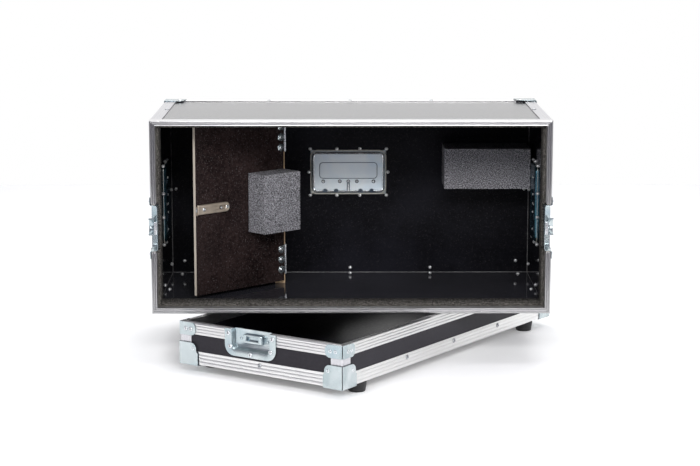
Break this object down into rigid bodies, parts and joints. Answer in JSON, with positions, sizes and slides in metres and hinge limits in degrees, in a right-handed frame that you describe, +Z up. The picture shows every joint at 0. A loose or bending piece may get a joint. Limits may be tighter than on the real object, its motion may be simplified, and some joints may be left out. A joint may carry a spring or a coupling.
{
  "type": "equipment rack case",
  "caption": "Flight case standing open: a deep hood with a hinged compartment door lies on its shallow latched tray with rubber feet.",
  "frame": {"origin": "middle of the whole standing object in plan, at the underside of the rubber feet", "axes": "+Z up, the hood's open face towards -Y, the hood's long side along X"},
  "size_m": [0.7934, 0.829, 0.4683],
  "materials": {
    "aluminium": "mill-finish extruded edging, bright, fine draw lines along its length",
    "zinc": "pressed steel, clear blue-passivated zinc plate",
    "laminate": "plywood faced with dark grey finely pebbled plastic laminate",
    "dark_ply": "plywood with a black phenolic film, satin gloss",
    "brown_ply": "birch plywood with dark brown phenolic film faces and bare pale edges",
    "bare_wood": "unfinished planed softwood",
    "foam": "charcoal grey open-cell foam, speckled, matt",
    "rubber": "moulded black rubber, matt",
    "grip_rubber": "black moulded grip over a steel bail",
    "steel": "bright zinc-plated steel",
    "bronze": "pale bronze lacquered pressed plate"
  },
  "bodies": {
    "tray": {"tray_floor_panel": "dark_ply", "tray_long_wall_near": "laminate", "tray_long_wall_far": "laminate", "tray_short_wall_left": "laminate", "tray_short_wall_right": "laminate", "tray_rim_near": "aluminium", "tray_rim_far": "aluminium", "tray_edge_frame": "aluminium", "tray_latch_keeper_left": "zinc", "tray_latch_keeper_right": "zinc", "tray_corner_back": "zinc", "tray_corner_left": "zinc", "tray_corner_front": "zinc", "tray_corner_right": "zinc", "tray_brace_back": "zinc", "tray_brace_left": "zinc", "tray_brace_front": "zinc", "tray_brace_right": "zinc", "foot_back": "rubber", "foot_left": "rubber", "foot_front": "rubber", "foot_right": "rubber"},
    "hood": {"hood_back_panel": "dark_ply", "hood_top_wall": "dark_ply", "hood_bottom_wall": "dark_ply", "hood_left_wall": "dark_ply", "hood_right_wall": "dark_ply", "hood_rim_upper": "aluminium", "hood_rim_lower": "aluminium", "hood_edge_frame": "aluminium", "hood_foam_lining": "foam", "hood_corner_top_right": "zinc", "hood_corner_top_left": "zinc", "hood_corner_bottom_left": "zinc", "hood_corner_bottom_right": "zinc", "latch_dish_left": "zinc", "latch_dish_right": "zinc", "handle_dish_back": "zinc", "handle_dish_left": "zinc", "handle_dish_right": "zinc", "hinge_post": "bare_wood", "divider_panel": "dark_ply", "back_foam_block": "foam", "hinge_frame_leaf_lower": "steel", "hinge_frame_leaf_upper": "steel"},
    "door": {"door_panel": "brown_ply", "door_foam_block": "foam", "door_catch_plate": "bronze", "hinge_door_leaf_lower": "steel", "hinge_door_leaf_upper": "steel"},
    "door_bolt": {"door_catch_slider": "steel"},
    "handle_back": {"handle_grip_back": "grip_rubber"},
    "handle_left": {"handle_grip_left": "grip_rubber"},
    "handle_right": {"handle_grip_right": "grip_rubber"},
    "latch_spindle_left": {"latch_spindle_left": "steel"},
    "latch_wing_left": {"latch_wing_left": "zinc"},
    "latch_hook_left": {"latch_hook_left": "steel"},
    "latch_spindle_right": {"latch_spindle_right": "steel"},
    "latch_wing_right": {"latch_wing_right": "zinc"},
    "latch_hook_right": {"latch_hook_right": "steel"}
  },
  "joints": [
    {"name": "hood_lift", "type": "slide", "parent": "tray", "child": "hood", "axis": [0, 0, 1], "range_m": [0, 0.25]},
    {"name": "door_hinge", "type": "hinge", "parent": "hood", "child": "door", "pos_m": [-0.14669, 0.0905, 0.28], "axis": [0, 0, 1], "range_deg": [-43.5, 56.5]},
    {"name": "door_catch_slide", "type": "slide", "parent": "door", "child": "door_bolt", "axis": [0.7254, 0.6884, 0], "range_m": [0, 0.008]},
    {"name": "handle_back_swing", "type": "hinge", "parent": "hood", "child": "handle_back", "pos_m": [-0.02039, 0.2142, 0.3467], "axis": [1, 0, 0], "range_deg": [0, 90], "stiffness_Nm_per_rad": 0.08, "springref_deg": -17.19},
    {"name": "handle_left_swing", "type": "hinge", "parent": "hood", "child": "handle_left", "pos_m": [-0.38389, 0.101, 0.2788], "axis": [0, 0, -1], "range_deg": [0, 90], "stiffness_Nm_per_rad": 0.08, "springref_deg": -17.19},
    {"name": "handle_right_swing", "type": "hinge", "parent": "hood", "child": "handle_right", "pos_m": [0.35051, 0.101, 0.2788], "axis": [0, 0, 1], "range_deg": [0, 90], "stiffness_Nm_per_rad": 0.08, "springref_deg": -17.19},
    {"name": "latch_turn_left", "type": "hinge", "parent": "hood", "child": "latch_spindle_left", "pos_m": [-0.39169, -0.1365, 0.2638], "axis": [1, 0, 0], "range_deg": [0, 180]},
    {"name": "latch_wing_left", "type": "hinge", "parent": "latch_spindle_left", "child": "latch_wing_left", "pos_m": [-0.38679, -0.1365, 0.2638], "axis": [0, 0, 1], "range_deg": [0, 90]},
    {"name": "latch_hook_left", "type": "slide", "parent": "hood", "child": "latch_hook_left", "axis": [0, -1, 0], "range_m": [0, 0.009]},
    {"name": "latch_turn_right", "type": "hinge", "parent": "hood", "child": "latch_spindle_right", "pos_m": [0.35831, -0.1365, 0.2638], "axis": [1, 0, 0], "range_deg": [0, 180]},
    {"name": "latch_wing_right", "type": "hinge", "parent": "latch_spindle_right", "child": "latch_wing_right", "pos_m": [0.35341, -0.1365, 0.2638], "axis": [0, 0, -1], "range_deg": [0, 90]},
    {"name": "latch_hook_right", "type": "slide", "parent": "hood", "child": "latch_hook_right", "axis": [0, -1, 0], "range_m": [0, 0.009]}
  ],
  "couplings": [
    {"joint": "latch_hook_left", "follows": "latch_turn_left", "m_per_rad": 0.0028648},
    {"joint": "latch_hook_right", "follows": "latch_turn_right", "m_per_rad": 0.0028648}
  ]
}
